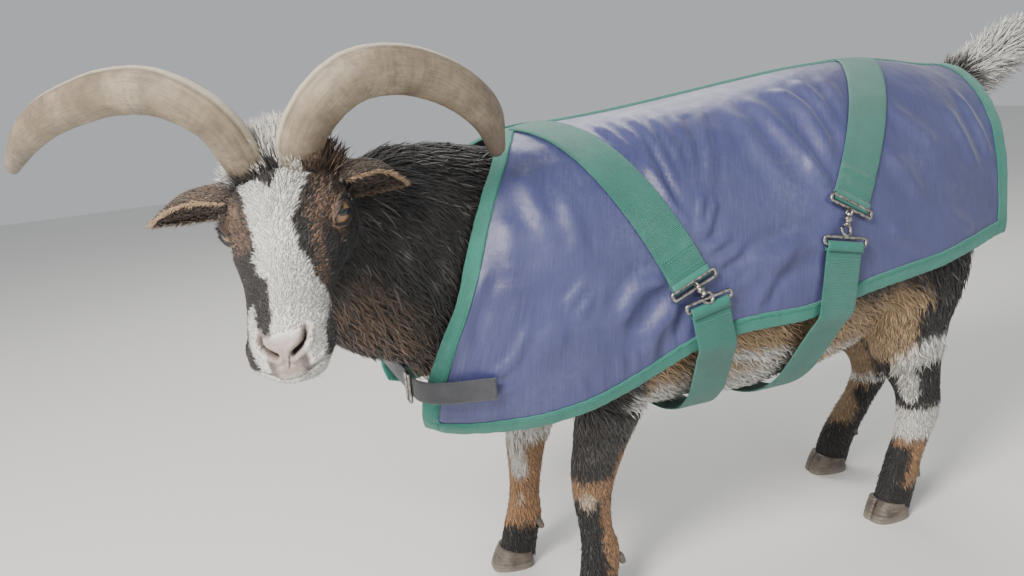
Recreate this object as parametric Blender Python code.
# Nigerian dwarf goat, standing, in a nylon coat with webbing straps.
# Forward is -Y, the goat's left is +X, up is +Z; metres.

import math
import random

import bmesh
import bpy
import numpy as np
from mathutils import Matrix, Vector
from mathutils.bvhtree import BVHTree

# Grid of the body's forms when they are run together, and the share of its faces that is kept
BODY_GRID = 0.0055
BODY_SHARE_KEPT = 0.020

# Clearances between neighbouring solids
GAP = 0.0003
COAT_CLEARANCE = 0.003

# Trunk: y, top, bottom, half width, height of the widest place
TRUNK_ROWS = [
    (-0.350, 0.400, 0.290, 0.060, 0.340),
    (-0.320, 0.460, 0.262, 0.088, 0.350),
    (-0.270, 0.500, 0.240, 0.108, 0.350),
    (-0.200, 0.521, 0.222, 0.122, 0.350),
    (-0.100, 0.533, 0.208, 0.135, 0.345),
    (0.000, 0.544, 0.203, 0.143, 0.345),
    (0.080, 0.553, 0.206, 0.143, 0.350),
    (0.160, 0.559, 0.222, 0.136, 0.365),
    (0.240, 0.558, 0.255, 0.123, 0.385),
    (0.305, 0.545, 0.295, 0.106, 0.400),
    (0.350, 0.518, 0.335, 0.084, 0.415),
]
TRUNK_POWER = 2.25

# Neck: x, y, z, half width, half height
NECK_ROWS = [
    (0.000, -0.180, 0.375, 0.094, 0.118),
    (0.002, -0.245, 0.395, 0.088, 0.121),
    (0.018, -0.305, 0.415, 0.080, 0.118),
    (0.045, -0.365, 0.431, 0.072, 0.112),
    (0.078, -0.418, 0.446, 0.064, 0.101),
    (0.108, -0.452, 0.462, 0.054, 0.080),
]

# Legs: x, y, z, half width, half depth, from the body down to the top of the hoof
FORE_LEFT_ROWS = [
    (0.070, -0.140, 0.430, 0.036, 0.050),
    (0.086, -0.152, 0.370, 0.040, 0.058),
    (0.090, -0.160, 0.310, 0.038, 0.054),
    (0.084, -0.167, 0.255, 0.033, 0.043),
    (0.076, -0.178, 0.205, 0.027, 0.033),
    (0.070, -0.190, 0.155, 0.0235, 0.027),
    (0.068, -0.192, 0.125, 0.0205, 0.023),
    (0.067, -0.190, 0.090, 0.0185, 0.021),
    (0.067, -0.187, 0.062, 0.021, 0.024),
    (0.067, -0.190, 0.040, 0.0215, 0.024),
    (0.067, -0.194, 0.012, 0.0225, 0.0255),
]
FORE_RIGHT_ROWS = [
    (-0.070, -0.140, 0.430, 0.036, 0.050),
    (-0.086, -0.155, 0.370, 0.040, 0.058),
    (-0.090, -0.167, 0.310, 0.038, 0.054),
    (-0.084, -0.180, 0.255, 0.033, 0.043),
    (-0.075, -0.198, 0.205, 0.027, 0.033),
    (-0.067, -0.216, 0.158, 0.0235, 0.027),
    (-0.064, -0.222, 0.125, 0.0205, 0.023),
    (-0.062, -0.227, 0.090, 0.0185, 0.021),
    (-0.061, -0.231, 0.062, 0.021, 0.024),
    (-0.060, -0.238, 0.040, 0.0215, 0.024),
    (-0.060, -0.245, 0.012, 0.0225, 0.0255),
]
HIND_LEFT_ROWS = [
    (0.062, 0.250, 0.440, 0.040, 0.070),
    (0.080, 0.240, 0.370, 0.046, 0.084),
    (0.088, 0.226, 0.310, 0.044, 0.080),
    (0.086, 0.228, 0.255, 0.036, 0.060),
    (0.081, 0.240, 0.205, 0.029, 0.041),
    (0.077, 0.252, 0.165, 0.0245, 0.031),
    (0.074, 0.256, 0.138, 0.024, 0.030),
    (0.072, 0.246, 0.100, 0.0205, 0.0240),
    (0.071, 0.234, 0.066, 0.0210, 0.0245),
    (0.071, 0.226, 0.042, 0.0220, 0.0250),
    (0.071, 0.216, 0.012, 0.0225, 0.0260),
]
HIND_RIGHT_ROWS = [
    (-0.062, 0.255, 0.440, 0.040, 0.070),
    (-0.080, 0.250, 0.370, 0.046, 0.086),
    (-0.088, 0.245, 0.310, 0.044, 0.082),
    (-0.088, 0.258, 0.255, 0.036, 0.060),
    (-0.085, 0.287, 0.205, 0.029, 0.041),
    (-0.082, 0.310, 0.165, 0.0245, 0.031),
    (-0.080, 0.316, 0.138, 0.024, 0.030),
    (-0.078, 0.295, 0.100, 0.0200, 0.0235),
    (-0.077, 0.268, 0.066, 0.0210, 0.0245),
    (-0.077, 0.252, 0.042, 0.0220, 0.0250),
    (-0.077, 0.241, 0.012, 0.0225, 0.0260),
]
LEGS = {
    "front_left": FORE_LEFT_ROWS,
    "front_right": FORE_RIGHT_ROWS,
    "hind_left": HIND_LEFT_ROWS,
    "hind_right": HIND_RIGHT_ROWS,
}

# Hooves: centre of the sole and the way that the toes point, in degrees to the left of forward
FEET = {
    "front_left": (0.067, -0.200, 4.0),
    "front_right": (-0.060, -0.251, -6.0),
    "hind_left": (0.071, 0.209, 6.0),
    "hind_right": (-0.077, 0.234, -8.0),
}
HOOF_TOE = 0.028
HOOF_HEEL = 0.024
CLAW_WIDTH = 0.0215
CLAW_SPLIT = 0.0012
CORONET_HEIGHT = 0.023
CORONET_SLOPE = 0.22

# Tail: x, y, z, half width, half height
TAIL_ROWS = [
    (0.0, 0.340, 0.515, 0.020, 0.020),
    (0.0, 0.372, 0.526, 0.018, 0.016),
    (0.0, 0.405, 0.538, 0.018, 0.013),
    (0.0, 0.440, 0.554, 0.019, 0.012),
    (0.0, 0.472, 0.570, 0.015, 0.010),
    (0.0, 0.496, 0.581, 0.007, 0.006),
]
TAIL_CUT_Y = 0.372

# Head: the point midway between the eyes, and the way that the head is turned
HEAD_AT = Vector((0.162, -0.485, 0.490))
HEAD_TURN = math.radians(73.4)
HEAD_DROP = math.radians(33.6)
HEAD_LEAN = math.radians(5.7)

# Head along its axis: forward, half width, height of the widest place, top, bottom, narrowing of the jaw
HEAD_ROWS = [
    (-0.092, 0.034, -0.022, 0.008, -0.058, 0.10),
    (-0.078, 0.044, -0.018, 0.024, -0.072, 0.12),
    (-0.060, 0.0485, -0.014, 0.032, -0.083, 0.20),
    (-0.035, 0.0505, -0.010, 0.030, -0.085, 0.28),
    (-0.010, 0.0505, -0.007, 0.024, -0.081, 0.34),
    (0.010, 0.0465, -0.009, 0.018, -0.077, 0.34),
    (0.030, 0.0405, -0.014, 0.0105, -0.074, 0.30),
    (0.050, 0.0360, -0.021, 0.0035, -0.072, 0.22),
    (0.070, 0.0340, -0.027, -0.0025, -0.070, 0.15),
    (0.090, 0.0335, -0.033, -0.0080, -0.069, 0.10),
    (0.105, 0.0305, -0.037, -0.0135, -0.066, 0.08),
    (0.116, 0.0240, -0.039, -0.0210, -0.060, 0.05),
    (0.1215, 0.0130, -0.040, -0.0300, -0.051, 0.02),
]
EYE_RADIUS = 0.0128
EYE_SIDE = 0.0405
EYE_FORWARD = 0.002
EYE_HEIGHT = -0.003
EYE_OPENING = (math.radians(57.0), math.radians(36.0))
LID_THICKNESS = 0.0032

EAR_LENGTH = {1.0: 0.066, -1.0: 0.086}
EAR_HALF_WIDTH = 0.021
EAR_THICKNESS = 0.003
EAR_ROOT = (-0.055, 0.046, -0.004)

# Horn centre lines in the head's frame (forward, outward, up), with half depth and half width
HORN_LEFT_ROWS = [
    (-0.052, 0.022, 0.016, 0.0185, 0.0160),
    (-0.054, 0.024, 0.037, 0.0190, 0.0165),
    (-0.062, 0.046, 0.065, 0.0200, 0.0165),
    (-0.074, 0.078, 0.079, 0.0205, 0.0160),
    (-0.086, 0.111, 0.071, 0.0200, 0.0155),
    (-0.096, 0.140, 0.050, 0.0190, 0.0145),
    (-0.104, 0.163, 0.022, 0.0175, 0.0130),
    (-0.110, 0.178, -0.011, 0.0150, 0.0110),
    (-0.111, 0.181, -0.047, 0.0090, 0.0070),
]
HORN_RIGHT_ROWS = [
    (-0.053, 0.024, 0.010, 0.0175, 0.0150),
    (-0.055, 0.028, 0.031, 0.0180, 0.0155),
    (-0.059, 0.039, 0.074, 0.0185, 0.0160),
    (-0.072, 0.074, 0.098, 0.0190, 0.0155),
    (-0.087, 0.116, 0.098, 0.0185, 0.0150),
    (-0.102, 0.157, 0.085, 0.0175, 0.0140),
    (-0.117, 0.196, 0.067, 0.0160, 0.0125),
    (-0.130, 0.232, 0.042, 0.0135, 0.0105),
    (-0.141, 0.264, 0.011, 0.0080, 0.0060),
]

# Long hair: shape of a lock, and for each place the spots, the length and the width
LOCK_STATIONS = 5
LOCK_SINK = 0.006
LOCK_DROOP = 0.10
LOCK_FLATNESS = 0.34
LOCK_SPREAD = 0.16
TAIL_HAIR_STATIONS = (0.36, 0.52, 0.68, 0.84)
TAIL_HAIR_TURNS = (0.0, 72.0, 144.0, 216.0, 288.0)
TAIL_LOCK = (0.042, 0.017)
NECK_HAIR_STATIONS = (0.38, 0.50, 0.62, 0.74, 0.86)
NECK_HAIR_TURNS = (0.0, 40.0, 80.0, 120.0, 160.0, 200.0, 240.0, 280.0, 320.0)
NECK_LOCK = (0.050, 0.021)
POLL_HAIR = [(-0.036, 0.010), (-0.036, -0.010), (-0.030, 0.000), (-0.024, 0.011), (-0.024, -0.011), (-0.018, 0.003)]
POLL_LOCK = (0.026, 0.011)
JAW_HAIR = (-0.010, 0.010, 0.030, 0.050)
JAW_LOCK = (0.024, 0.012)
BREECH_HAIR = (-0.018, 0.012)
BREECH_LOCK = (0.036, 0.019)

# Coat: shell thickness, edge binding, webbing
COAT_THICKNESS = 0.005
BINDING_WIDTH = 0.016
BINDING_PROUD = 0.0012
WEBBING_THICKNESS = 0.0028
WEBBING_WIDTH = 0.044
CHEST_WEBBING_WIDTH = 0.022
COAT_AXIS = Vector((0.0, -0.200, 0.400))
COAT_NOSE_RADIUS = 0.170
COAT_REAR_Y = 0.364
COAT_REAR_DRAW = 0.022
COAT_LENGTH = 0.640
COAT_GIRTH = 0.660

# Places along the coat between which the rump and the root of the tail bear it
RUMP_PLACE = 0.480
RUMP_END = 0.580

# The neck lifts the coat down to this turn from the top
NECK_BEARING = math.radians(96.0)

# Neck opening of the coat: turn from the top, swing forward, both in degrees
NECK_OPENING = [(0, 13), (30, 27), (64, 43), (94, 50), (119, 52.5), (135, 50.5), (150, 46)]
# Hem of the coat: place along the coat, turn from the top in degrees
COAT_HEM = [
    (-0.180, 150), (-0.150, 149.5), (-0.122, 147.5), (-0.095, 144), (-0.045, 139), (0.037, 131),
    (0.097, 123), (0.145, 119.5), (0.243, 118), (0.296, 115), (0.450, 112.5), (0.590, 110),
]

# Straps: ends of the two upper straps, and how the webbing lies over the coat
FRONT_STRAP = ((0.012, -0.205, 0.534), (0.150, -0.104, 0.380))
REAR_STRAP = ((0.012, 0.216, 0.562), (0.150, 0.096, 0.430))
STRAP_LIFT = COAT_THICKNESS + 2.0 * BINDING_PROUD + 0.0008
BAND_CLEARANCE = 0.006
BAND_LIFT = 0.0026
LOOP_WIRE = 0.0042
LOOP_HEIGHT = 0.009
LOOP_SPACE = 0.0010
SNAP_CLEARANCE = 0.0060

# Chest webbing: its height, and how far it reaches to each side in degrees from straight ahead
CHEST_STRAP_Z = 0.303
CHEST_LEFT_TURN = 52.0
CHEST_RIGHT_TURN = 42.0
CHEST_CLEARANCE = 0.0020
CHEST_LOOP_STATION = 6

COLOURS = {
    "coat_dark": (0.035, 0.030, 0.028),
    "coat_brown": (0.240, 0.110, 0.050),
    "coat_white": (0.800, 0.770, 0.700),
    "horn": (0.330, 0.260, 0.180),
    "hoof": (0.120, 0.100, 0.085),
    "eye": (0.450, 0.220, 0.060),
    "nylon": (0.085, 0.100, 0.300),
    "webbing": (0.020, 0.220, 0.150),
    "strap_dark": (0.030, 0.035, 0.045),
    "metal": (0.450, 0.430, 0.400),
}


# General helpers

def material(slot):
    made = bpy.data.materials.get(slot)
    if made is None:
        made = bpy.data.materials.new(slot)
        made.use_nodes = True
        shader = made.node_tree.nodes["Principled BSDF"]
        shader.inputs["Base Color"].default_value = (*COLOURS[slot], 1.0)
        shader.inputs["Roughness"].default_value = 0.30 if slot in ("eye", "metal") else 0.75
        shader.inputs["Metallic"].default_value = 1.0 if slot == "metal" else 0.0
    return made


def add_object(name, vertices, faces, slot, smooth=True):
    mesh = bpy.data.meshes.new(name)
    mesh.from_pydata([tuple(map(float, v)) for v in vertices], [], [tuple(map(int, f)) for f in faces])
    shape = bmesh.new()
    shape.from_mesh(mesh)
    bmesh.ops.recalc_face_normals(shape, faces=shape.faces)
    shape.to_mesh(mesh)
    shape.free()
    made = bpy.data.objects.new(name, mesh)
    bpy.context.scene.collection.objects.link(made)
    mesh.materials.append(material(slot))
    if smooth:
        mesh.shade_smooth()
    return made


def remove(*objects):
    for each in objects:
        bpy.data.objects.remove(each)


def remove_all():
    remove(*bpy.data.objects)


def hermite(keys, rows, at):
    # smooth curve through the rows, with slopes from their neighbours
    keys = np.asarray(keys, float)
    rows = np.asarray(rows, float)
    at = np.clip(np.asarray(at, float), keys[0], keys[-1])
    flat = rows.reshape(len(keys), -1)
    slopes = np.gradient(flat, keys, axis=0)
    low = np.clip(np.searchsorted(keys, at) - 1, 0, len(keys) - 2)
    span = (keys[low + 1] - keys[low])[:, None]
    t = (at - keys[low])[:, None] / span
    value = (2 * t**3 - 3 * t**2 + 1) * flat[low] + (t**3 - 2 * t**2 + t) * span * slopes[low]
    value += (3 * t**2 - 2 * t**3) * flat[low + 1] + (t**3 - t**2) * span * slopes[low + 1]
    return value.reshape((len(at),) + rows.shape[1:])


def smooth_rows(rows, count):
    rows = np.array(rows, float)
    steps = np.linalg.norm(np.diff(rows[:, :3], axis=0), axis=1)
    keys = np.concatenate([[0.0], np.cumsum(steps)])
    return hermite(keys, rows, np.linspace(0.0, keys[-1], count))


def superellipse(sides, power):
    # unit outline, from the top round: across and up
    turn = np.arange(sides) * 2.0 * math.pi / sides
    across = np.sign(np.sin(turn)) * np.abs(np.sin(turn)) ** (2.0 / power)
    upward = np.sign(np.cos(turn)) * np.abs(np.cos(turn)) ** (2.0 / power)
    return across, upward


def ring_object(name, rings, slot):
    # closed skin over rings of points, with a fan at each end
    count, sides = rings.shape[:2]
    points = np.concatenate([rings.reshape(-1, 3), rings[0].mean(0)[None], rings[-1].mean(0)[None]])
    faces = []
    for i in range(count - 1):
        for j in range(sides):
            k = (j + 1) % sides
            faces.append((i * sides + j, i * sides + k, (i + 1) * sides + k, (i + 1) * sides + j))
    for j in range(sides):
        k = (j + 1) % sides
        faces.append((count * sides, k, j))
        faces.append((count * sides + 1, (count - 1) * sides + j, (count - 1) * sides + k))
    return add_object(name, points, faces, slot)


def frames_along(centres, side_hint):
    # along, across and upward unit vectors at each centre
    along = np.gradient(centres, axis=0)
    along /= np.linalg.norm(along, axis=1)[:, None]
    across = np.asarray(side_hint, float) - along * (along @ np.asarray(side_hint, float))[:, None]
    across /= np.linalg.norm(across, axis=1)[:, None]
    upward = np.cross(across, along)
    return along, across, upward


def tube(name, rows, count, sides, slot, side_hint=(1.0, 0.0, 0.0), power=2.0, round_ends=(True, True)):
    # rows hold x, y, z, half width, half height; ends are flat or domed
    table = smooth_rows(rows, count)
    centres = table[:, :3]
    along, across, upward = frames_along(centres, side_hint)
    wide, high = superellipse(sides, power)
    rings = []
    for i in range(count):
        ring = centres[i] + np.outer(wide * table[i, 3], across[i]) + np.outer(high * table[i, 4], upward[i])
        rings.append(ring)
    for end, sign in ((0, -1.0), (-1, 1.0)):
        if not round_ends[end]:
            continue
        reach = 0.8 * min(table[end, 3], table[end, 4])
        dome = []
        for t in (0.45, 0.80, 0.97):
            ring = centres[end] + (rings[end] - centres[end]) * math.sqrt(1.0 - t * t)
            dome.append(ring + along[end] * sign * reach * t)
        rings = dome[::-1] + rings if end == 0 else rings + dome
    return ring_object(name, np.array(rings), slot)


def evaluated_mesh(thing):
    graph = bpy.context.evaluated_depsgraph_get()
    return bpy.data.meshes.new_from_object(thing.evaluated_get(graph))


def apply_modifiers(thing):
    mesh = evaluated_mesh(thing)
    old = thing.data
    thing.modifiers.clear()
    thing.data = mesh
    bpy.data.meshes.remove(old)
    return thing


def keep_largest(thing):
    # only the largest closed surface stays
    shape = bmesh.new()
    shape.from_mesh(thing.data)
    bmesh.ops.triangulate(shape, faces=shape.faces)
    seen = set()
    groups = []
    for face in shape.faces:
        if face in seen:
            continue
        group = [face]
        seen.add(face)
        for current in group:
            for edge in current.edges:
                for other in edge.link_faces:
                    if other not in seen:
                        seen.add(other)
                        group.append(other)
        groups.append(group)
    groups.sort(key=lambda g: sum(f.calc_area() for f in g))
    loose = [face for group in groups[:-1] for face in group]
    bmesh.ops.delete(shape, geom=loose, context="FACES")
    shape.to_mesh(thing.data)
    shape.free()
    return thing


def boolean(thing, cutter, operation, solver="EXACT"):
    cut = thing.modifiers.new("cut", "BOOLEAN")
    cut.operation = operation
    cut.object = cutter
    cut.solver = solver
    return keep_largest(apply_modifiers(thing))


def fuse(thing, pieces, solver="EXACT"):
    # one union of the thing with a collection of closed pieces
    group = bpy.data.collections.new("pieces")
    bpy.context.scene.collection.children.link(group)
    for piece in pieces:
        group.objects.link(piece)
    join = thing.modifiers.new("join", "BOOLEAN")
    join.operation = "UNION"
    join.operand_type = "COLLECTION"
    join.collection = group
    join.solver = solver
    apply_modifiers(thing)
    remove(*pieces)
    bpy.data.collections.remove(group)
    return keep_largest(thing)


def duplicate(thing, name, grow=0.0):
    made = bpy.data.objects.new(name, thing.data.copy())
    bpy.context.scene.collection.objects.link(made)
    if grow:
        shape = bmesh.new()
        shape.from_mesh(made.data)
        shape.normal_update()
        for vertex in shape.verts:
            vertex.co += vertex.normal * grow
        shape.to_mesh(made.data)
        shape.free()
    return made


def half_space(name, point, normal, size=1.2):
    # big box whose one face passes through the point, on the side that the normal points to
    normal = Vector(normal).normalized()
    side = normal.orthogonal().normalized() * size
    other = normal.cross(side)
    corners = []
    for depth in (0.0, size):
        for a, b in ((-1, -1), (1, -1), (1, 1), (-1, 1)):
            corners.append(Vector(point) + side * a + other * b + normal * depth)
    faces = [(0, 3, 2, 1), (4, 5, 6, 7), (0, 1, 5, 4), (1, 2, 6, 5), (2, 3, 7, 6), (3, 0, 4, 7)]
    return add_object(name, corners, faces, "coat_dark", smooth=False)


# The body: lofted forms run together, smoothed, and parted

def trunk_form():
    rows = hermite([r[0] for r in TRUNK_ROWS], TRUNK_ROWS, np.linspace(TRUNK_ROWS[0][0], TRUNK_ROWS[-1][0], 40))
    wide, high = superellipse(36, TRUNK_POWER)
    rings = []
    for y, top, bottom, half_width, middle in rows:
        lift = np.where(high > 0.0, high * (top - middle), high * (middle - bottom))
        rings.append(np.stack([wide * half_width, np.full(36, y), middle + lift], axis=1))
    for end, sign, reach in ((0, -1.0, 0.030), (-1, 1.0, 0.032)):
        dome = []
        for t in (0.35, 0.65, 0.88, 0.98):
            centre = rings[end].mean(0)
            ring = centre + (rings[end] - centre) * math.sqrt(1.0 - t * t)
            dome.append(ring + np.array([0.0, sign * reach * t, 0.0]))
        rings = dome[::-1] + rings if end == 0 else rings + dome
    return ring_object("trunk", np.array(rings), "coat_dark")


def leg_form(name, rows, grow=0.0):
    grown = [(x, y, z, w + grow, d + grow) for x, y, z, w, d in rows]
    return tube(name, grown, 34, 18, "coat_dark", power=2.1)


def body_form():
    body = trunk_form()
    others = [tube("neck_form", NECK_ROWS, 22, 28, "coat_dark"), tube("tail_form", TAIL_ROWS, 18, 14, "coat_white")]
    others += [leg_form("leg_form", rows) for rows in LEGS.values()]
    body = fuse(body, others)
    remesh = body.modifiers.new("even", "REMESH")
    remesh.mode = "VOXEL"
    remesh.voxel_size = BODY_GRID
    soften = body.modifiers.new("soften", "SMOOTH")
    soften.factor = 0.5
    soften.iterations = 7
    thin = body.modifiers.new("thin", "DECIMATE")
    thin.ratio = BODY_SHARE_KEPT
    thin.use_symmetry = False
    return keep_largest(apply_modifiers(body))


def leg_space(key, grow):
    # the room that one leg takes, up into the shoulder or the thigh
    extra = 0.008 + grow
    rows = [(x, y, z, w + extra, d + extra) for x, y, z, w, d in LEGS[key][1:]]
    return tube("leg_space", rows, 14, 14, "coat_dark", power=2.1)


def split_body(body, head, on_head):
    torso = duplicate(body, "torso")
    for key in LEGS:
        leg = duplicate(body, "leg_" + key)
        space = leg_space(key, 0.0)
        boolean(leg, space, "INTERSECT")
        wider = leg_space(key, GAP * 1.5)
        boolean(torso, wider, "DIFFERENCE")
        ground = coronet_cut(key)
        boolean(leg, ground, "DIFFERENCE")
        remove(space, wider, ground)
    neck = duplicate(body, "neck")
    plane_point = Vector((0.0, -0.290, 0.420))
    plane_normal = Vector((0.0, -1.0, 0.42)).normalized()
    front = half_space("front", plane_point, plane_normal)
    front_wider = half_space("front_wider", plane_point - plane_normal * GAP, plane_normal)
    above = half_space("above", (0.0, 0.0, 0.245), (0.0, 0.0, 1.0))
    boolean(front, above, "INTERSECT")
    boolean(front_wider, above, "INTERSECT")
    boolean(neck, front, "INTERSECT")
    boolean(torso, front_wider, "DIFFERENCE")
    for piece in [head] + on_head:
        room = duplicate(piece, "room", GAP * 1.5)
        boolean(neck, room, "DIFFERENCE")
        remove(room)
    tail = duplicate(body, "tail")
    tail_lean = Vector((0.0, 0.9, 0.35))
    behind = half_space("behind", (0.0, TAIL_CUT_Y, 0.530), tail_lean)
    behind_wider = half_space("behind_wider", Vector((0.0, TAIL_CUT_Y, 0.530)) - tail_lean.normalized() * GAP, tail_lean)
    upper = half_space("upper", (0.0, 0.0, 0.500), (0.0, 0.0, 1.0))
    boolean(behind, upper, "INTERSECT")
    boolean(behind_wider, upper, "INTERSECT")
    boolean(tail, behind, "INTERSECT")
    boolean(torso, behind_wider, "DIFFERENCE")
    remove(front, front_wider, above, behind, behind_wider, upper)
    tail.data.materials.clear()
    tail.data.materials.append(material("coat_white"))
    return neck


# Hooves

def foot_frame(key):
    x, y, turn = FEET[key]
    angle = math.radians(turn)
    ahead = Vector((math.sin(angle), -math.cos(angle), 0.0))
    left = Vector((math.cos(angle), math.sin(angle), 0.0))
    return Vector((x, y, 0.0)), ahead, left


def coronet_cut(key):
    centre, ahead, left = foot_frame(key)
    normal = (ahead * CORONET_SLOPE - Vector((0.0, 0.0, 1.0))).normalized()
    top = centre + Vector((0.0, 0.0, CORONET_HEIGHT + GAP))
    return half_space("coronet", top, normal, size=0.2)


def claw(name, key, side):
    # half a cloven hoof: straight inner wall, bowed outer wall, sloping toe
    centre, ahead, left = foot_frame(key)
    steps = 7
    outline = [(-HOOF_HEEL, CLAW_SPLIT)]
    for i in range(steps):
        t = (i + 0.5) / steps
        forward = -HOOF_HEEL + (HOOF_HEEL + HOOF_TOE) * (1.0 - math.cos(math.pi * t)) / 2.0
        outline.append((forward, CLAW_SPLIT + CLAW_WIDTH * math.sin(math.pi * t ** 0.85) ** 0.55))
    outline.append((HOOF_TOE, CLAW_SPLIT))
    outline.append(((HOOF_TOE - HOOF_HEEL) / 2.0, CLAW_SPLIT))
    rings = []
    for level, shrink in ((0.0, 0.97), (0.002, 1.0), (0.5, 0.985), (1.0, 0.93)):
        ring = []
        for forward, outward in outline:
            lean = -0.011 * max(forward, 0.0) / HOOF_TOE
            a = forward * shrink + lean * level
            b = CLAW_SPLIT + (outward - CLAW_SPLIT) * shrink
            top = CORONET_HEIGHT + CORONET_SLOPE * a
            ring.append(centre + ahead * a + left * (side * b) + Vector((0.0, 0.0, top * level)))
        rings.append([tuple(p) for p in ring])
    return ring_object(name, np.array(rings), "hoof")


def make_hooves():
    made = []
    for key in FEET:
        for side, word in ((1.0, "left_claw"), (-1.0, "right_claw")):
            made.append(claw(f"hoof_{key}_{word}", key, side))
    return made


# The head

def head_axes():
    flat = Vector((math.sin(HEAD_TURN), -math.cos(HEAD_TURN), 0.0))
    up = Vector((0.0, 0.0, 1.0))
    forward = flat * math.cos(HEAD_DROP) - up * math.sin(HEAD_DROP)
    upward = up * math.cos(HEAD_DROP) + flat * math.sin(HEAD_DROP)
    left = upward.cross(forward)
    left_leaned = left * math.cos(HEAD_LEAN) + upward * math.sin(HEAD_LEAN)
    up_leaned = upward * math.cos(HEAD_LEAN) - left * math.sin(HEAD_LEAN)
    return np.array([forward, left_leaned, up_leaned])


def from_head(points):
    # head coordinates (forward, left, up) to the world
    return np.asarray(HEAD_AT) + np.asarray(points, float) @ head_axes()


def bump(points, centre, reach, height, direction):
    # raises the points near the centre along the direction
    away = np.linalg.norm((points - np.array(centre)) / np.array(reach), axis=1)
    return np.outer(height * np.exp(-away**2), np.array(direction))


def head_features(points):
    moved = points.copy()
    for side in (1.0, -1.0):
        features = (
            ((0.000, 0.050 * side, -0.003), (0.014, 0.02, 0.010), -0.0050, (0.0, side, 0.0)),
            ((-0.004, 0.044 * side, 0.014), (0.016, 0.016, 0.008), 0.0045, (0.0, 0.6 * side, 0.6)),
            ((0.022, 0.043 * side, -0.016), (0.020, 0.016, 0.008), 0.0020, (0.0, side, 0.0)),
            ((-0.032, 0.044 * side, -0.052), (0.022, 0.02, 0.018), 0.0045, (0.0, side, 0.0)),
            ((0.050, 0.036 * side, -0.040), (0.020, 0.02, 0.014), -0.0025, (0.0, side, 0.0)),
            ((0.104, 0.017 * side, -0.021), (0.010, 0.010, 0.008), 0.0028, (0.3, side, 0.4)),
            ((0.100, 0.030 * side, -0.036), (0.016, 0.014, 0.008), 0.0025, (0.2, side, 0.0)),
            ((0.103, 0.022 * side, -0.060), (0.012, 0.014, 0.007), 0.0018, (0.4, side, -0.3)),
        )
        for centre, reach, height, direction in features:
            moved += bump(points, centre, reach, height, direction)
    return moved


def head_form():
    rows = hermite([r[0] for r in HEAD_ROWS], HEAD_ROWS, head_stations())
    sides = 24
    turn = np.arange(sides) * 2.0 * math.pi / sides
    wide, high = superellipse(sides, 2.15)
    rings = []
    for forward, half_width, middle, top, bottom, narrow in rows:
        lift = np.where(high > 0.0, high * (top - middle), high * (middle - bottom))
        pinch = 1.0 - narrow * np.clip(-np.cos(turn), 0.0, 1.0)
        rings.append(np.stack([np.full(sides, forward), wide * half_width * pinch, middle + lift], axis=1))
    rear = rings[0]
    centre = rear.mean(0)
    for t in (0.6, 0.93):
        dome = centre + (rear - centre) * math.sqrt(1.0 - t * t)
        rings.insert(0, dome - np.array([0.014 * t, 0.0, 0.0]))
    front = rings[-1]
    nose = front.mean(0)
    rings.append(nose + (front - nose) * 0.5 + np.array([0.0018, 0.0, 0.0]))
    rings = np.array(rings)
    shaped = head_features(rings.reshape(-1, 3))
    return ring_object("head", from_head(shaped).reshape(rings.shape), "coat_dark")


def head_stations():
    # closer together at the muzzle and about the eyes
    rear = np.linspace(-0.092, -0.024, 5, endpoint=False)
    eyes = np.linspace(-0.024, 0.030, 7, endpoint=False)
    face = np.linspace(0.030, 0.088, 4, endpoint=False)
    muzzle = np.linspace(0.088, 0.1215, 7)
    return np.concatenate([rear, eyes, face, muzzle])


def eye_axes(side):
    outward = Vector((0.26, side * 0.93, 0.16)).normalized()
    along = (Vector((1.0, 0.0, -0.25)) - outward * outward.dot(Vector((1.0, 0.0, -0.25)))).normalized()
    return outward, along, outward.cross(along)


def eye_centre(side):
    return Vector((EYE_FORWARD, side * EYE_SIDE, EYE_HEIGHT))


def eye_ball(name, side, radius):
    rings = []
    outward, along, upward = eye_axes(side)
    for i in range(1, 8):
        polar = math.pi * i / 8
        ring = []
        for j in range(12):
            turn = 2.0 * math.pi * j / 12
            flat = along * math.cos(turn) + upward * math.sin(turn)
            ring.append(eye_centre(side) + (outward * math.cos(polar) + flat * math.sin(polar)) * radius)
        rings.append([tuple(p) for p in ring])
    shape = np.array(rings)
    made = ring_object(name, from_head(shape.reshape(-1, 3)).reshape(shape.shape), "eye")
    pole = from_head([tuple(eye_centre(side) + outward * radius * s) for s in (1.0, -1.0)])
    made.data.vertices[-2].co = pole[0]
    made.data.vertices[-1].co = pole[1]
    return made


def closed_loop(name, centres, outs, ups, thickness, height, slot, sides=6):
    # ring-shaped tube through the centres; outs and ups are its two section directions
    count = len(centres)
    points = []
    for centre, out, up in zip(centres, outs, ups):
        for j in range(sides):
            turn = 2.0 * math.pi * j / sides
            points.append(np.array(centre) + np.array(out) * math.cos(turn) * thickness
                          + np.array(up) * math.sin(turn) * height)
    faces = []
    for i in range(count):
        for j in range(sides):
            a, b = i, (i + 1) % count
            c, d = j, (j + 1) % sides
            faces.append((a * sides + c, a * sides + d, b * sides + d, b * sides + c))
    return add_object(name, points, faces, slot)


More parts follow.
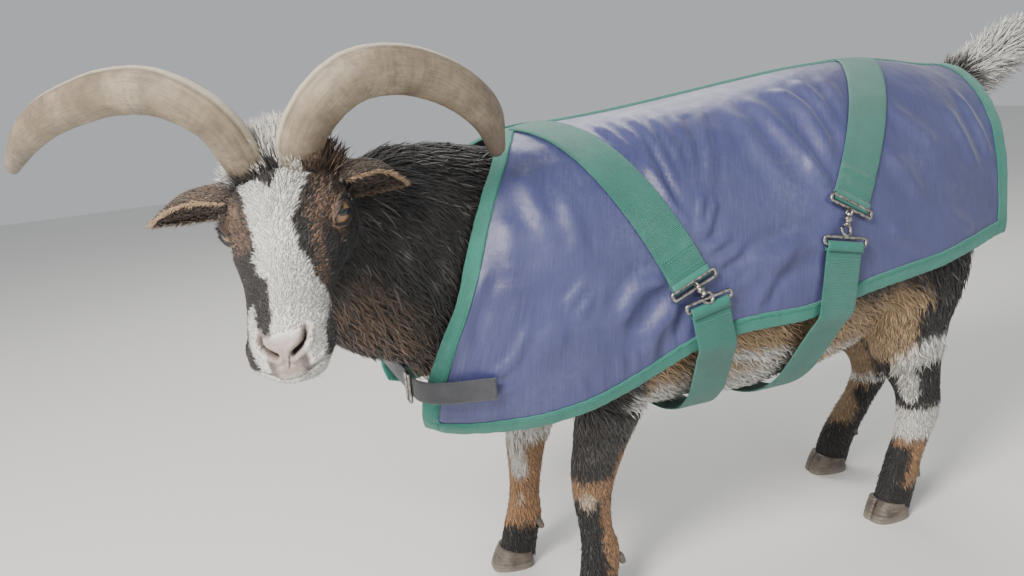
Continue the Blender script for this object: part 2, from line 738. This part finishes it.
def lid_ring(side):
    outward, along, upward = eye_axes(side)
    centres, outs, ups = [], [], []
    for j in range(14):
        turn = 2.0 * math.pi * j / 14
        spread = EYE_OPENING[0] * math.cos(turn) ** 2 + EYE_OPENING[1] * math.sin(turn) ** 2
        flat = along * math.cos(turn) + upward * math.sin(turn)
        direction = outward * math.cos(spread) + flat * math.sin(spread)
        rim = flat * math.cos(spread) - outward * math.sin(spread)
        centres.append(eye_centre(side) + direction * (EYE_RADIUS + 0.0006) + rim * LID_THICKNESS * 0.7)
        outs.append(rim)
        ups.append(direction)
    axes = head_axes()
    place = [from_head([tuple(c)])[0] for c in centres]
    outs = [np.array(o) @ axes for o in outs]
    ups = [np.array(u) @ axes for u in ups]
    return closed_loop("lid", place, outs, ups, LID_THICKNESS, LID_THICKNESS * 0.62, "coat_dark", sides=5)


def mouth_cutter():
    # thin curved plate that follows the line of the lips from corner to corner
    count = 17
    points = []
    for i in range(count):
        angle = math.radians(-100.0 + 200.0 * i / (count - 1))
        dip = -0.0415 - 0.0045 * (1.0 - math.cos(angle))
        for forward, half, lift in ((0.0405, 0.0255, 0.0), (0.070, 0.052, 0.0)):
            for thick in (-0.0008, 0.0008):
                a = 0.074 + forward * math.cos(angle)
                b = half * math.sin(angle)
                points.append((a, b, dip + lift + thick * (0.4 if half < 0.03 else 1.4)))
    faces = [(0, 1, 3, 2)]
    for i in range(count - 1):
        a, b = 4 * i, 4 * (i + 1)
        faces += [(a, b, b + 1, a + 1), (a + 1, b + 1, b + 3, a + 3),
                  (a + 3, b + 3, b + 2, a + 2), (a + 2, b + 2, b, a)]
    last = 4 * (count - 1)
    faces.append((last, last + 2, last + 3, last + 1))
    return add_object("mouth_line", from_head(points), faces, "coat_dark", smooth=False)


def nostril_cutter(side, tree):
    # comma-shaped hollow, deepest in front
    route = [(0.1195, 0.0050, -0.0300), (0.1150, 0.0105, -0.0265), (0.1090, 0.0165, -0.0235), (0.1010, 0.0195, -0.0170)]
    rows = []
    for (a, b, c), radius in zip(route, (0.0018, 0.0030, 0.0026, 0.0014)):
        place = from_head([(a, b * side, c)])[0]
        near = tree.find_nearest(Vector(place))
        sunk = near[0] - near[1] * 0.0004
        rows.append((*sunk, radius, radius))
    return tube("nostril", rows, 7, 6, "coat_dark", side_hint=(0.3, 0.2, 0.9), round_ends=(False, False))


def ear_form(name, side):
    # a leaf-shaped cup of even thickness, open to the front
    reach = Vector((-0.10, 0.965 * side, -0.36)) if side > 0 else Vector((0.05, -0.95, -0.26))
    reach.normalize()
    facing = Vector((0.82, 0.18 * side, -0.50))
    facing = (facing - reach * facing.dot(reach)).normalized()
    across = reach.cross(facing)
    root = Vector((EAR_ROOT[0], EAR_ROOT[1] * side, EAR_ROOT[2]))
    stations, spread = 9, 7
    front, back = [], []
    for i in range(stations):
        s = i / (stations - 1)
        half = EAR_HALF_WIDTH * (0.42 + 0.58 * math.sin(math.pi * min(s * 1.05, 1.0) ** 0.8)) * (1.0 - s ** 5) + 0.0015
        depth = 0.020 * (1.0 - s) ** 0.7 + 0.003
        centre = root + reach * EAR_LENGTH[side] * s - facing * 0.006 * math.sin(math.pi * s)
        for j in range(spread):
            q = -1.0 + 2.0 * j / (spread - 1)
            rim = centre + across * half * math.sin(q * 1.35) / math.sin(1.35) + facing * depth * q * q
            thick = EAR_THICKNESS * (1.0 - 0.45 * abs(q)) * (1.0 - 0.4 * s)
            front.append(tuple(rim + facing * thick * 0.5))
            back.append(tuple(rim - facing * thick * 0.5))
    points = from_head(front + back)
    return add_object(name, points, sheet_faces(stations, spread), "coat_dark")


def sheet_faces(rows, columns):
    # quads of a closed sheet: front grid, back grid, and the rim between them
    size = rows * columns
    faces = []
    for i in range(rows - 1):
        for j in range(columns - 1):
            a = i * columns + j
            faces.append((a, a + 1, a + columns + 1, a + columns))
            faces.append((size + a, size + a + columns, size + a + columns + 1, size + a + 1))
    rim = [j for j in range(columns)]
    rim += [i * columns + columns - 1 for i in range(1, rows)]
    rim += [(rows - 1) * columns + j for j in range(columns - 2, -1, -1)]
    rim += [i * columns for i in range(rows - 2, 0, -1)]
    for a, b in zip(rim, rim[1:] + rim[:1]):
        faces.append((a, size + a, size + b, b))
    return faces


def horn_form(name, rows, side):
    # oval section with a keel on the outer side of the bend, and low rings
    count, sides = 23, 10
    table = smooth_rows(rows, count)
    centres = table[:, :3] * np.array([1.0, side, 1.0])
    along = np.gradient(centres, axis=0)
    along /= np.linalg.norm(along, axis=1)[:, None]
    middle = centres[[0, count // 2, count - 1]].mean(0)
    rings = []
    for i in range(count):
        keel = centres[i] - middle
        if i < 8:
            keel = keel * (i / 8.0) + np.array([0.10, 0.0, 0.0]) * (1.0 - i / 8.0)
        keel -= along[i] * (keel @ along[i])
        keel /= np.linalg.norm(keel)
        cross = np.cross(along[i], keel)
        swell = 1.0 + 0.020 * math.sin(i * 2.6) * (1.0 - i / count)
        ring = []
        for j in range(sides):
            turn = 2.0 * math.pi * j / sides
            ridge = 1.0 + 0.14 * max(math.cos(turn), 0.0) ** 6
            ring.append(centres[i] + (keel * math.cos(turn) * table[i, 3] * ridge
                                      + cross * math.sin(turn) * table[i, 4]) * swell)
        rings.append(ring)
    tip = centres[-1]
    for t in (0.55, 0.88):
        rings.append([tip + (p - tip) * math.sqrt(1.0 - t * t) + along[-1] * 0.009 * t for p in rings[count - 1]])
    shape = np.array(rings)
    return ring_object(name, from_head(shape.reshape(-1, 3)).reshape(shape.shape), "horn")


def make_head():
    head = head_form()
    tree = BVHTree.FromObject(head, bpy.context.evaluated_depsgraph_get())
    cutters = [mouth_cutter()] + [nostril_cutter(side, tree) for side in (1.0, -1.0)]
    fuse(head, [lid_ring(1.0), lid_ring(-1.0)])
    for side in (1.0, -1.0):
        cutters.append(eye_ball("socket", side, EYE_RADIUS + GAP * 1.3))
    for cutter in cutters:
        boolean(head, cutter, "DIFFERENCE")
    remove(*cutters)
    return head


def make_on_head(head):
    # eyes in their sockets; ears and horns cut to the skin that they grow from
    room = duplicate(head, "room", GAP * 1.5)
    made = [eye_ball("eye_left", 1.0, EYE_RADIUS), eye_ball("eye_right", -1.0, EYE_RADIUS)]
    grown = [ear_form("ear_left", 1.0), ear_form("ear_right", -1.0),
             horn_form("horn_left", HORN_LEFT_ROWS, 1.0), horn_form("horn_right", HORN_RIGHT_ROWS, -1.0)]
    for piece in grown:
        boolean(piece, room, "DIFFERENCE")
    remove(room)
    return made + grown


# The coat

def opening_place(turn):
    # place along the coat of its neck opening, at a turn in degrees from the top
    opening = np.array(NECK_OPENING, float)
    return -math.radians(hermite(opening[:, 0], opening[:, 1:], [turn])[0, 0]) * COAT_NOSE_RADIUS


class CoatSurface:
    # Distance of the coat from the axis of the trunk, over the place along and the turn from the top.
    # Behind the axis's front end the directions are square to it; before it they fan out forward.

    def __init__(self, trees, body_tree):
        self.places = np.linspace(-0.205, 0.600, 74)
        self.turns = np.radians(np.linspace(0.0, 180.0, 61))
        reach = np.zeros((len(self.places), len(self.turns)))
        for i, place in enumerate(self.places):
            for j, turn in enumerate(self.turns):
                reach[i, j] = max(self.hit(tree, place, way) for tree in trees for way in (turn, -turn))
                bears_neck = opening_place(math.degrees(turn)) - 0.004 < place < 0.100 and turn < NECK_BEARING
                if bears_neck or RUMP_PLACE < place < RUMP_END:
                    reach[i, j] = max(reach[i, j], *(self.hit(body_tree, place, way) for way in (turn, -turn)))
        floor = reach + COAT_CLEARANCE
        floor = self.hung(floor)
        taut = floor.copy()
        for _ in range(140):
            padded = np.pad(taut, 1, mode="edge")
            mean = (padded[2:, 1:-1] + padded[:-2, 1:-1] + padded[1:-1, 2:] + padded[1:-1, :-2]) / 4.0
            taut = np.maximum(floor, mean)
        self.reach = taut

    def ray(self, place, turn):
        if place >= 0.0:
            return COAT_AXIS + Vector((0.0, place, 0.0)), Vector((math.sin(turn), 0.0, math.cos(turn)))
        swing = -place / COAT_NOSE_RADIUS
        flat = math.cos(swing)
        return COAT_AXIS.copy(), Vector((math.sin(turn) * flat, -math.sin(swing), math.cos(turn) * flat))

    def hit(self, tree, place, turn):
        start, way = self.ray(place, turn)
        far = start + way * 0.26
        found = tree.ray_cast(far, -way, 0.26)
        return 0.0 if found[0] is None else (found[0] - start).length

    def hung(self, reach):
        # below its widest place the cloth hangs almost straight down
        held = reach.copy()
        for i, place in enumerate(self.places):
            level = math.cos(max(-place, 0.0) / COAT_NOSE_RADIUS)
            across = reach[i] * np.sin(self.turns)
            widest = 0.0
            for j, turn in enumerate(self.turns):
                widest = max(widest * 0.9985, across[j])
                if turn > math.pi / 2.0 and level > 0.5:
                    drop = min(turn, math.radians(140.0))
                    held[i, j] = max(held[i, j], widest * 0.97 / math.sin(drop))
        return held

    def distance(self, place, turn):
        turn = abs(turn) if abs(turn) <= math.pi else 2.0 * math.pi - abs(turn)
        a = np.clip((place - self.places[0]) / (self.places[1] - self.places[0]), 0.0, len(self.places) - 1.001)
        b = np.clip(turn / (self.turns[1] - self.turns[0]), 0.0, len(self.turns) - 1.001)
        i, j = int(a), int(b)
        p, q = a - i, b - j
        r = self.reach
        return ((r[i, j] * (1 - q) + r[i, j + 1] * q) * (1 - p)
                + (r[i + 1, j] * (1 - q) + r[i + 1, j + 1] * q) * p)

    def point(self, place, turn, lift=0.0):
        start, way = self.ray(place, turn)
        return start + way * (self.distance(place, turn) + lift)

    def coordinates(self, point):
        # place and turn of a point in space
        offset = Vector(point) - COAT_AXIS
        turn = math.atan2(offset.x, offset.z)
        if offset.y >= 0.0:
            return offset.y, turn
        return -math.asin(min(-offset.y / offset.length, 1.0)) * COAT_NOSE_RADIUS, turn


def trees_under_coat():
    # the trunk and the legs bear the coat; the neck comes out of its opening
    forms = [trunk_form()] + [leg_form("bearing", rows) for rows in LEGS.values()]
    bpy.context.view_layer.update()
    trees = [BVHTree.FromObject(form, bpy.context.evaluated_depsgraph_get()) for form in forms]
    remove(*forms)
    return trees


def coat_spot(u, v):
    # place along and turn for a spot of the coat: u from the rear edge to the neck opening, v across
    turn = abs(v) * 120.0
    for _ in range(6):
        front = opening_place(turn)
        rear = COAT_REAR_Y - COAT_AXIS.y - COAT_REAR_DRAW * (turn / 110.0) ** 2
        place = rear + (front - rear) * u
        turn = abs(v) * hermite(*hem_table(), [place])[0, 0]
    return place, math.copysign(math.radians(turn), v)


def coat_panel(name, surface, u_values, v_values, lift, thickness, slot):
    inner, outer = [], []
    for u in u_values:
        for v in v_values:
            place, turn = coat_spot(u, v)
            inner.append(surface.point(place, turn, lift))
            outer.append(surface.point(place, turn, lift + thickness))
    faces = sheet_faces(len(u_values), len(v_values))
    return add_object(name, outer + inner, faces, slot)


def make_coat(surface):
    band_u = BINDING_WIDTH / COAT_LENGTH
    band_v = 2.0 * BINDING_WIDTH / COAT_GIRTH
    slit_u = 1.5 * GAP / COAT_LENGTH
    slit_v = 3.0 * GAP / COAT_GIRTH
    inner_u = np.linspace(band_u, 1.0 - band_u, 17)
    inner_v = np.linspace(-1.0 + band_v, 1.0 - band_v, 19)
    made = [coat_panel("coat_shell", surface, inner_u, inner_v, BINDING_PROUD, COAT_THICKNESS, "nylon")]
    thick = COAT_THICKNESS + 2.0 * BINDING_PROUD
    for side, word in ((1.0, "left"), (-1.0, "right")):
        rim = np.array([1.0 - band_v + slit_v, 1.0]) * side
        made.append(coat_panel("binding_hem_" + word, surface, inner_u, np.sort(rim), 0.0, thick, "webbing"))
    whole_v = np.concatenate([[-1.0], inner_v, [1.0]])
    made.append(coat_panel("binding_neck", surface, np.array([1.0 - band_u + slit_u, 1.0]), whole_v, 0.0, thick,
                           "webbing"))
    made.append(coat_panel("binding_rear", surface, np.array([0.0, band_u - slit_u]), whole_v, 0.0, thick, "webbing"))
    return made


# Straps and their hardware

def strip_on_coat(name, surface, start, end, side, width, slot, count=11):
    # webbing laid along the coat from start to end
    a = surface.coordinates(start)
    b = surface.coordinates(end)
    centre = [surface.point(a[0] + (b[0] - a[0]) * t, a[1] + (b[1] - a[1]) * t, STRAP_LIFT)
              for t in np.linspace(0.0, 1.0, count)]
    return webbing(name, surface, centre, side, width, slot)


def webbing(name, surface, centre, side, width, slot, spread=4):
    points = np.array([tuple(p) for p in centre])
    along = np.gradient(points, axis=0)
    outer, inner = [], []
    for p, tangent in zip(points, along):
        place, turn = surface.coordinates(p)
        ahead = surface.point(place + 0.004, turn) - surface.point(place - 0.004, turn)
        round_way = surface.point(place, turn + 0.03) - surface.point(place, turn - 0.03)
        normal = ahead.cross(round_way).normalized()
        if normal.dot(Vector(p) - COAT_AXIS - Vector((0.0, max(p[1] - COAT_AXIS.y, 0.0), 0.0))) < 0.0:
            normal = -normal
        across = normal.cross(Vector(tangent)).normalized()
        for j in range(spread):
            edge = Vector(p) + across * width * (j / (spread - 1) - 0.5)
            where = surface.coordinates(edge)
            base = surface.point(where[0], where[1], STRAP_LIFT)
            top = surface.point(where[0], where[1], STRAP_LIFT + WEBBING_THICKNESS)
            outer.append((top.x * side, top.y, top.z))
            inner.append((base.x * side, base.y, base.z))
    return add_object(name, outer + inner, sheet_faces(len(points), spread), slot)


def make_straps(surface):
    made = []
    for side, word in ((1.0, "left"), (-1.0, "right")):
        made.append(strip_on_coat("strap_front_" + word, surface, *FRONT_STRAP, side, WEBBING_WIDTH, "webbing"))
        made.append(strip_on_coat("strap_rear_" + word, surface, *REAR_STRAP, side, WEBBING_WIDTH, "webbing"))
    return made


def surface_frame(surface, place, turn, lift):
    # a spot on the coat and the way out from it
    spot = surface.point(place, turn, lift)
    rearward = (surface.point(place + 0.006, turn) - surface.point(place - 0.006, turn)).normalized()
    around = surface.point(place, turn + 0.04) - surface.point(place, turn - 0.04)
    outward = around.cross(rearward).normalized()
    if outward.dot(spot - COAT_AXIS - Vector((0.0, max(spot.y - COAT_AXIS.y, 0.0), 0.0))) < 0.0:
        outward = -outward
    return spot, outward


def strap_end(surface, strap):
    # place, turn and direction of the lower end of an upper strap
    place, turn = surface.coordinates(strap[1])
    spot, outward = surface_frame(surface, place, turn, STRAP_LIFT)
    earlier = surface.coordinates(strap[0])
    near = surface.point(place + (earlier[0] - place) * 0.05, turn + (earlier[1] - turn) * 0.05, STRAP_LIFT)
    down = (spot - near).normalized()
    return spot, down, outward


def metal_loop(name, centre, across, down, outward, width, height, side):
    # rectangular ring of round wire with rounded corners
    wire = LOOP_WIRE / 2.0
    corners = []
    radius = 0.003
    for a, b in ((1, 1), (-1, 1), (-1, -1), (1, -1)):
        for turn in (15.0, 75.0):
            angle = math.radians(turn + {(1, 1): 0, (-1, 1): 90, (-1, -1): 180, (1, -1): 270}[(a, b)])
            x = a * (width / 2.0 - radius) + radius * math.cos(angle)
            y = b * (height / 2.0 - radius) + radius * math.sin(angle)
            corners.append((x, y))
    centres, outs, ups = [], [], []
    for x, y in corners:
        centre_point = centre + across * x + down * y
        away = (across * x / width + down * y / height).normalized()
        centres.append((centre_point.x * side, centre_point.y, centre_point.z))
        outs.append((away.x * side, away.y, away.z))
        ups.append((outward.x * side, outward.y, outward.z))
    return closed_loop(name, centres, outs, ups, wire, wire, "metal", sides=5)


def snap_hook(name, start, end, outward, side):
    # swivel between two loops: collar, waist and ball
    rows = []
    for t, radius in ((0.0, 0.0026), (0.18, 0.0044), (0.34, 0.0040), (0.48, 0.0026), (0.66, 0.0056), (0.86, 0.0056),
                      (1.0, 0.0030)):
        p = start + (end - start) * t
        rows.append((p.x * side, p.y, p.z, radius, radius))
    return tube(name, rows, 9, 6, "metal", side_hint=(outward.x * side, outward.y, outward.z),
                round_ends=(False, False))


def band_floor(surface, body_tree, y, turn, hem_turn):
    # least distance from the axis that a belly band keeps at one turn
    place = y - COAT_AXIS.y
    start = COAT_AXIS + Vector((0.0, place, 0.0))
    reach = 0.0
    for shift in (-WEBBING_WIDTH / 2.0, 0.0, WEBBING_WIDTH / 2.0):
        for sign in (1.0, -1.0):
            way = Vector((math.sin(turn) * sign, 0.0, math.cos(turn)))
            far = start + Vector((0.0, shift, 0.0)) + way * 0.30
            found = body_tree.ray_cast(far, -way, 0.30)
            if found[0] is not None:
                reach = max(reach, 0.30 - found[3] + BAND_CLEARANCE)
        if turn < hem_turn:
            reach = max(reach, surface.distance(place + shift, turn) + STRAP_LIFT + BAND_LIFT)
    return reach


def belly_band(name, surface, body_tree, y_top, y_bottom, start_turn):
    # webbing from one side of the coat, drawn under the belly to the other side
    count = 25
    turns = np.linspace(start_turn, 2.0 * math.pi - start_turn, count)
    folded = np.where(turns > math.pi, 2.0 * math.pi - turns, turns)
    depth = np.sin((folded - start_turn) / (math.pi - start_turn) * math.pi / 2.0)
    levels = y_top + (y_bottom - y_top) * depth
    hem = [math.radians(hermite(*hem_table(), [y - COAT_AXIS.y])[0, 0] + 3.0) for y in levels]
    floor = np.array([band_floor(surface, body_tree, y, t, h) for y, t, h in zip(levels, folded, hem)])
    reach = drawn_taut(floor, turns[1] - turns[0])
    points = np.stack([np.sin(turns) * reach, levels, COAT_AXIS.z + np.cos(turns) * reach], axis=1)
    along = np.gradient(points, axis=0)
    along /= np.linalg.norm(along, axis=1)[:, None]
    outward = np.stack([along[:, 2], np.zeros(count), -along[:, 0]], axis=1)
    outward *= np.sign((outward * (points - np.array([0.0, 0.0, COAT_AXIS.z]))).sum(1))[:, None]
    outward[:, 1] = 0.0
    outward /= np.linalg.norm(outward, axis=1)[:, None]
    across = np.cross(outward, along)
    outer, inner = [], []
    for p, way, out in zip(points, across, outward):
        for s in (-0.5, 0.0, 0.5):
            inner.append(tuple(p + way * WEBBING_WIDTH * s))
            outer.append(tuple(p + way * WEBBING_WIDTH * s + out * WEBBING_THICKNESS))
    made = add_object(name, outer + inner, sheet_faces(count, 3), "webbing")
    return made, Vector(points[0]), Vector(-along[0]), Vector(outward[0])


def hem_table():
    hem = np.array(COAT_HEM, float)
    return hem[:, 0], hem[:, 1:]


def make_hardware(surface, body_tree):
    made = []
    for word, strap, top, bottom, turn in (("front", FRONT_STRAP, -0.088, -0.060, 108.0),
                                           ("rear", REAR_STRAP, 0.074, 0.040, 96.0)):
        band, band_top, band_up, band_out = belly_band("belly_band_" + word, surface, body_tree, top, bottom,
                                                       math.radians(turn))
        made.append(band)
        spot, down, outward = strap_end(surface, strap)
        across = outward.cross(down).normalized()
        width = WEBBING_WIDTH + 0.009
        upper_centre = spot + down * (LOOP_HEIGHT / 2.0 + LOOP_SPACE + LOOP_WIRE / 2.0) + outward * LOOP_WIRE * 0.6
        band_across = band_out.cross(band_up).normalized()
        lower_centre = band_top + band_up * (LOOP_HEIGHT / 2.0 + LOOP_SPACE + LOOP_WIRE / 2.0) + band_out * LOOP_WIRE * 0.6
        from_point = upper_centre + down * (LOOP_HEIGHT / 2.0 + LOOP_WIRE / 2.0 + SNAP_CLEARANCE)
        to_point = lower_centre + band_up * (LOOP_HEIGHT / 2.0 + LOOP_WIRE / 2.0 + SNAP_CLEARANCE)
        for side, hand in ((1.0, "left"), (-1.0, "right")):
            made.append(metal_loop(f"loop_{word}_upper_{hand}", upper_centre, across, down, outward, width,
                                   LOOP_HEIGHT, side))
            made.append(metal_loop(f"loop_{word}_lower_{hand}", lower_centre, band_across, band_up, band_out, width,
                                   LOOP_HEIGHT, side))
            made.append(snap_hook(f"snap_{word}_{hand}", from_point, to_point, outward, side))
    return made


def make_chest_strap(bearing):
    # dark webbing drawn level across the breast, from one front flap to the other
    count = 21
    turns = np.radians(np.linspace(CHEST_LEFT_TURN, -CHEST_RIGHT_TURN, count))
    centre = np.array([COAT_AXIS.x, COAT_AXIS.y, CHEST_STRAP_Z])
    trees = [BVHTree.FromObject(each, bpy.context.evaluated_depsgraph_get()) for each in bearing]
    ways = np.stack([np.sin(turns), -np.cos(turns), np.zeros(count)], axis=1)
    step = abs(turns[1] - turns[0])
    floor = np.zeros(count)
    for i, turn in enumerate(turns):
        for share in np.linspace(-1.0, 1.0, 9):
            way = np.array([math.sin(turn + step * share), -math.cos(turn + step * share), 0.0])
            for lift in (-0.5, -0.25, 0.0, 0.25, 0.5):
                far = Vector(centre + way * 0.30 + np.array([0.0, 0.0, lift * CHEST_WEBBING_WIDTH]))
                hits = [tree.ray_cast(far, Vector(-way), 0.30) for tree in trees]
                reach = max([0.30 - hit[3] for hit in hits if hit[0] is not None] + [0.0])
                floor[i] = max(floor[i], reach + CHEST_CLEARANCE)
    reach = drawn_taut(floor, abs(turns[1] - turns[0]))
    points = centre + ways * reach[:, None]
    along = np.gradient(points, axis=0)
    along /= np.linalg.norm(along, axis=1)[:, None]
    outward = np.stack([-along[:, 1], along[:, 0], np.zeros(count)], axis=1)
    outward *= np.sign((outward * ways).sum(1))[:, None]
    outer, inner = [], []
    for p, out in zip(points, outward):
        for step in (-0.5, 0.0, 0.5):
            edge = p + np.array([0.0, 0.0, step * CHEST_WEBBING_WIDTH])
            inner.append(tuple(edge))
            outer.append(tuple(edge + out * WEBBING_THICKNESS))
    strap = add_object("chest_strap", outer + inner, sheet_faces(count, 3), "strap_dark")
    spot = CHEST_LOOP_STATION
    lifted = points[spot] + outward[spot] * (WEBBING_THICKNESS + LOOP_WIRE / 2.0 + 0.0008)
    buckle = metal_loop("chest_loop", Vector(lifted), Vector((0.0, 0.0, 1.0)), Vector(along[spot]),
                        Vector(outward[spot]), CHEST_WEBBING_WIDTH + 0.008, 0.014, 1.0)
    return [strap, buckle]


def drawn_taut(floor, step):
    # polar reach of a band drawn tight over a floor, at even steps of turn
    reach = floor.copy()
    for _ in range(600):
        chord = 2.0 * reach[:-2] * reach[2:] * math.cos(step) / (reach[:-2] + reach[2:])
        reach[1:-1] = np.maximum(floor[1:-1], chord)
    return reach


# Long hair: flat tapered locks rooted in the skin

def lock(root, normal, way, length, width, curl):
    # centre line rises from under the skin, settles along the way and droops to its tip
    across = way.cross(normal).normalized()
    points = []
    for i in range(LOCK_STATIONS):
        t = i / LOCK_STATIONS
        rise = length * (0.30 * t - 0.20 * t * t) - LOCK_SINK * (1.0 - t) ** 3
        spot = root + way * (length * t) + normal * rise + across * (curl * length * t * t)
        spot.z -= LOCK_DROOP * length * t * t
        half = width / 2.0 * min(1.0, 0.70 + 1.2 * t) * (1.0 - t ** 2.2)
        for a, b in ((1.0, 0.0), (0.0, LOCK_FLATNESS), (-1.0, 0.0), (0.0, -LOCK_FLATNESS)):
            points.append(spot + across * half * a + normal * half * b)
    tip = root + way * length + normal * (length * 0.10) + across * (curl * length)
    points.append(tip - Vector((0.0, 0.0, LOCK_DROOP * length)))
    faces = [(3, 2, 1, 0)]
    for i in range(LOCK_STATIONS - 1):
        for j in range(4):
            k = (j + 1) % 4
            faces.append((i * 4 + j, i * 4 + k, (i + 1) * 4 + k, (i + 1) * 4 + j))
    last = (LOCK_STATIONS - 1) * 4
    for j in range(4):
        faces.append((last + j, last + (j + 1) % 4, last + 4))
    return points, faces


def grow_locks(thing, others, spots, length, width, seed):
    # spots hold a point outside, one inside, and the way that the hair lies there
    chance = random.Random(seed)
    bpy.context.view_layer.update()
    graph = bpy.context.evaluated_depsgraph_get()
    skin = BVHTree.FromObject(thing, graph)
    around = [BVHTree.FromObject(other, graph) for other in others]
    slot = thing.data.materials[0].name
    pieces = []
    for outside, inside, way in spots:
        reach = Vector(inside) - Vector(outside)
        hit = skin.ray_cast(Vector(outside), reach.normalized(), reach.length)
        if hit[0] is None:
            continue
        normal = hit[1] if hit[1].dot(reach) < 0.0 else -hit[1]
        turned = Vector(way) + Vector([chance.uniform(-LOCK_SPREAD, LOCK_SPREAD) for _ in range(3)])
        flat = (turned - normal * turned.dot(normal) * 0.75).normalized()
        size = length * chance.uniform(0.80, 1.15)
        points, faces = lock(hit[0], normal, flat, size, width * chance.uniform(0.85, 1.15), chance.uniform(-0.2, 0.2))
        wider = lock(hit[0], normal, flat, size + 0.002, width * 1.2 + 0.002, 0.0)[0]
        tested = [BVHTree.FromPolygons(shape, faces) for shape in (points, wider)]
        if any(tree.overlap(shape) for tree in around for shape in tested):
            continue
        pieces.append(add_object("lock", [tuple(p) for p in points], faces, slot))
    return fuse(thing, pieces, "MANIFOLD") if pieces else thing


def spots_round(rows, stations, turns, lie, side_hint=(1.0, 0.0, 0.0)):
    # places round a bent tube of flesh; lie gives the way of the hair at a station and a turn
    table = smooth_rows(rows, 41)
    along, across, upward = frames_along(table[:, :3], side_hint)
    spots = []
    for k, share in enumerate(stations):
        i = int(round(share * 40))
        for turn in turns:
            angle = math.radians(turn + (0.5 * (turns[1] - turns[0]) if k % 2 else 0.0))
            out = across[i] * math.sin(angle) + upward[i] * math.cos(angle)
            centre = table[i, :3]
            spots.append((tuple(centre + out * 0.20), tuple(centre), tuple(lie(along[i], out))))
    return spots


def grow_hair(horns_and_ears, worn):
    piece = bpy.data.objects
    tail_spots = spots_round(TAIL_ROWS, TAIL_HAIR_STATIONS, TAIL_HAIR_TURNS, lambda along, out: along + out * 0.25)
    grow_locks(piece["tail"], worn + [piece["torso"]], tail_spots, TAIL_LOCK[0], TAIL_LOCK[1], 3)
    neck_spots = spots_round(NECK_ROWS, NECK_HAIR_STATIONS, NECK_HAIR_TURNS,
                             lambda along, out: np.array([0.0, 0.0, -0.7]) - along * 0.8)
    near_neck = worn + horns_and_ears + [piece["head"], piece["torso"]]
    grow_locks(piece["neck"], near_neck, neck_spots, NECK_LOCK[0], NECK_LOCK[1], 5)
    axes = head_axes()
    poll_spots = []
    for forward, left in POLL_HAIR:
        ends = from_head([(forward, left, 0.09), (forward, left, 0.0)])
        poll_spots.append((tuple(ends[0]), tuple(ends[1]), tuple(np.array([0.55, left * 25.0, 0.75]) @ axes)))
    near_head = horns_and_ears + [piece["neck"]]
    grow_locks(piece["head"], near_head, poll_spots, POLL_LOCK[0], POLL_LOCK[1], 7)
    jaw_spots = []
    for forward in JAW_HAIR:
        for side in (1.0, -1.0):
            ends = from_head([(forward, 0.030 * side, -0.13), (forward, 0.018 * side, -0.045)])
            jaw_spots.append((tuple(ends[0]), tuple(ends[1]), tuple(np.array([-0.75, 0.3 * side, -0.55]) @ axes)))
    grow_locks(piece["head"], near_head, jaw_spots, JAW_LOCK[0], JAW_LOCK[1], 11)
    for key in ("hind_left", "hind_right"):
        others = worn + [piece["torso"]]
        spots = []
        for x, y, z, half_width, half_depth in LEGS[key][1:5]:
            for shift in BREECH_HAIR:
                outside = (x + shift, y + half_depth + 0.04, z)
                spots.append((outside, (x + shift, y, z), (0.0, 0.35, -1.0)))
        grow_locks(piece["leg_" + key], others, spots, BREECH_LOCK[0], BREECH_LOCK[1], 13)


def clear_of(thing, others):
    # the hair gives way to what lies on it
    for other in others:
        room = duplicate(other, "room", GAP * 2.0)
        boolean(thing, room, "DIFFERENCE")
        remove(room)


def stand_on_origin():
    # the middle of the whole model's box, on the floor, becomes the origin
    pieces = [each for each in bpy.data.objects if each.type == "MESH"]
    spots = np.concatenate([np.array([v.co for v in each.data.vertices]) for each in pieces])
    middle = (spots.min(0) + spots.max(0)) / 2.0
    for each in pieces:
        each.data.transform(Matrix.Translation((-middle[0], -middle[1], -spots[:, 2].min())))


def main():
    remove_all()
    head = make_head()
    on_head = make_on_head(head)
    body = body_form()
    bpy.context.view_layer.update()
    body_tree = BVHTree.FromObject(body, bpy.context.evaluated_depsgraph_get())
    surface = CoatSurface(trees_under_coat(), body_tree)
    neck = split_body(body, head, on_head)
    remove(body)
    make_hooves()
    coat = make_coat(surface)
    make_straps(surface)
    make_hardware(surface, body_tree)
    bpy.context.view_layer.update()
    clear_of(neck, coat)
    chest = make_chest_strap(coat + [neck, bpy.data.objects["torso"]])
    grow_hair(on_head, coat + chest)
    stand_on_origin()


main()
